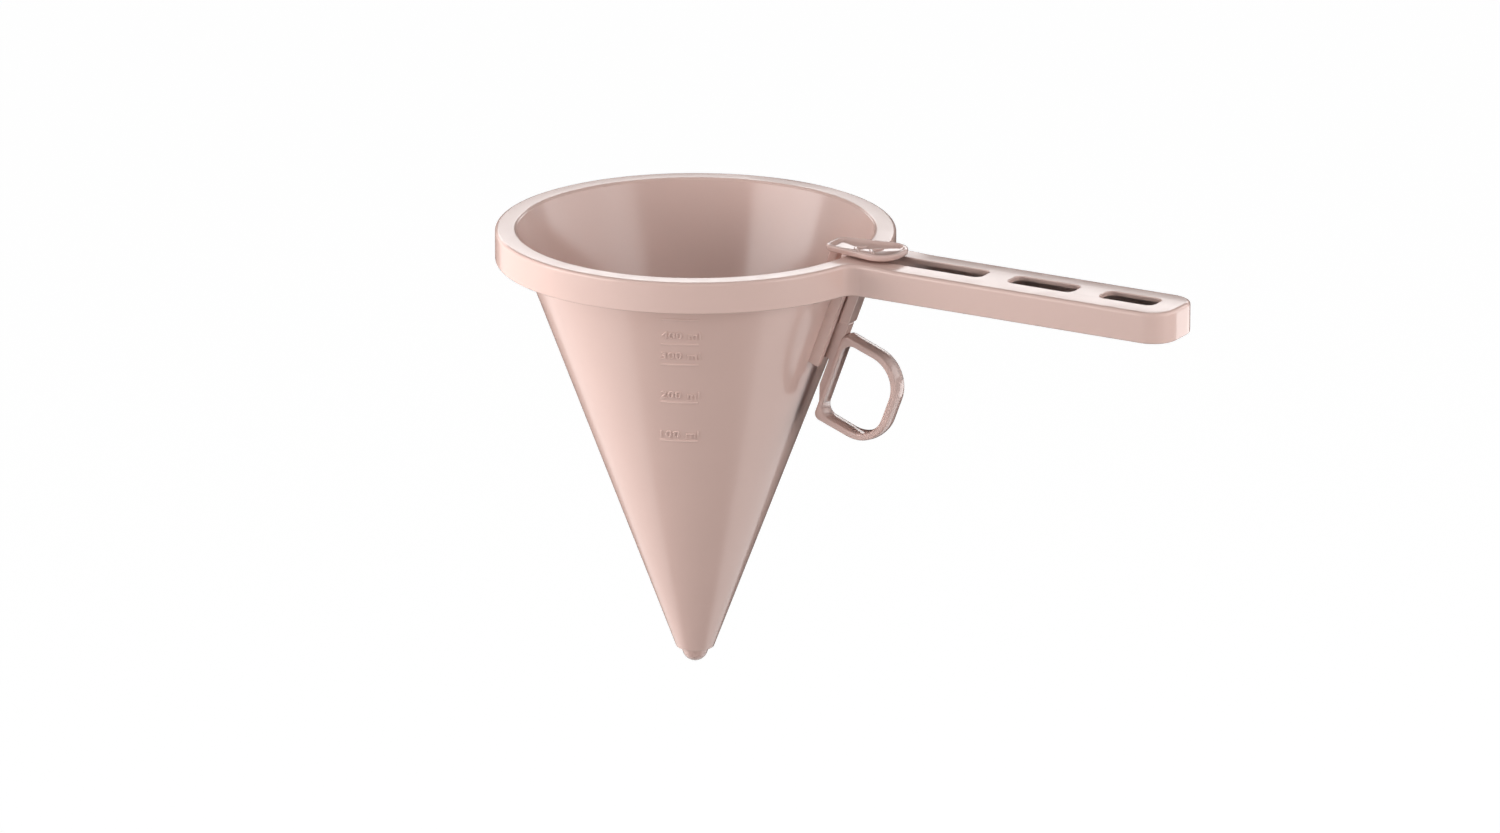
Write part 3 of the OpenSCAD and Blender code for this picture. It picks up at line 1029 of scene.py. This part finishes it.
def studio_place(azimuth, elevation, distance):
    """A point round the cone's middle: azimuth 0 is towards the camera, 90 to its right."""
    right, _, back = camera_axes()
    front = Vector((back.x, back.y, 0)).normalized()
    a, e = math.radians(azimuth), math.radians(elevation)
    level = front * math.cos(a) + right * math.sin(a)
    return (level * math.cos(e) + Vector((0, 0, math.sin(e)))) * distance


def face_middle(thing, place):
    """Sets a lamp or card at a place, turned to the cone's middle and unseen by the camera."""
    thing.location = (LAMP_MIDDLE + place) * MM
    thing.rotation_mode = "QUATERNION"
    thing.rotation_quaternion = place.to_track_quat("Z", "Y")
    thing.visible_camera = False


def make_lamp(name, place, size, level, reflected=True, lights=True):
    """A soft box that faces the cone, with a level in which 1 is white.

    With reflected off it is unseen in reflections. With lights off it is seen there alone.
    """
    data = bpy.data.lights.new(name, "AREA")
    data.shape = "RECTANGLE"
    data.size, data.size_y = size[0] * MM, size[1] * MM
    data.energy = level * math.pi * data.size * data.size_y
    lamp = bpy.data.objects.new(name, data)
    face_middle(lamp, studio_place(*place))
    lamp.visible_glossy = reflected
    lamp.visible_diffuse = lights
    bpy.context.scene.collection.objects.link(lamp)


def dark_card(name, corners):
    """A black card of the studio, with its corners in millimetres."""
    mesh = bpy.data.meshes.new(name)
    mesh.from_pydata([Vector(corner) * MM for corner in corners], [], [(0, 1, 2, 3)])
    card = add_object(name, mesh)
    card.visible_camera = False
    material = bpy.data.materials.new(name)
    material.use_nodes = True
    nodes, links = material.node_tree.nodes, material.node_tree.links
    nodes.clear()
    out = nodes.new("ShaderNodeOutputMaterial")
    cloth = nodes.new("ShaderNodeBsdfDiffuse")
    cloth.inputs["Color"].default_value = CARD_GREY
    links.new(cloth.outputs["BSDF"], out.inputs["Surface"])
    mesh.materials.append(material)
    return card


def make_flag(name, place, size):
    """A dark card that only reflections see. It gives the plastic its dark edges."""
    x, y = size[0] / 2, size[1] / 2
    flag = dark_card(name, [(-x, -y, 0), (x, -y, 0), (x, y, 0), (-x, y, 0)])
    face_middle(flag, studio_place(*place))
    flag.visible_diffuse = False
    flag.visible_shadow = False


def make_handle_card():
    """A dark card close under the open handle. It keeps light from below out of the slots."""
    x0, x1 = RIM_R + HANDLE_CARD_START, HANDLE_END - SHELL_WALL
    y = HANDLE_W / 2 - SHELL_WALL
    z = HANDLE_CARD_Z
    dark_card("handle_card", [(x0, -y, z), (x1, -y, z), (x1, y, z), (x0, y, z)])


def make_studio():
    """Surround, lamps and cards. A place is azimuth, elevation and distance from the middle."""
    make_floor()
    make_world()
    make_lamp("key", (-84, 5, 600), (540, 420), 6.2, False)
    make_lamp("left_front", (-42, -22, 1100), (700, 500), 3.7, False)
    make_lamp("right_front", (56, 8, 1100), (500, 800), 6.4, False)
    make_lamp("left_top", (-60, 58, 1100), (700, 600), 1.6, False)
    make_lamp("top", (0, 88, 1000), (800, 800), 0.6, False)
    make_lamp("left_card", (-68, 22, 1000), (900, 450), 3.7, True, False)
    make_lamp("right_card", (80, 18, 1000), (1500, 450), 1.95, True, False)
    make_lamp("back", (180, 23.4, 1200), (1400, 220), 2.6, True, False)
    make_lamp("low_card", (92, -45, 750), (980, 400), 0.4, True, False)
    make_lamp("end_card", (120, -17, 900), (420, 300), 2.1, True, False)
    make_flag("back_flag", (172, -12, 800), (1300, 860))
    make_flag("front_flag", (0, -70, 800), (1100, 900))
    make_flag("high_flag", (180, 52, 900), (1600, 760))
    make_handle_card()
    bpy.context.scene.view_settings.view_transform = "Standard"


def make_object():
    """Every piece of the funnel body and of the piston."""
    body_plastic = plastic("body_plastic", BODY_COLOUR, BODY_ROUGHNESS)
    piston_plastic = plastic("piston_plastic", PISTON_COLOUR, PISTON_ROUGHNESS)
    make_body_shell(body_plastic)
    make_root_walls(body_plastic)
    make_volume_scale(body_plastic)
    make_guide_rail("front_guide_rail", -1, body_plastic)
    make_guide_rail("rear_guide_rail", 1, body_plastic)
    make_thumb_pad(piston_plastic)
    make_stem(piston_plastic)
    make_stopper(piston_plastic)
    make_arm(piston_plastic)
    make_runner(piston_plastic)
    make_ring(piston_plastic)


make_camera()
make_studio()
make_object()
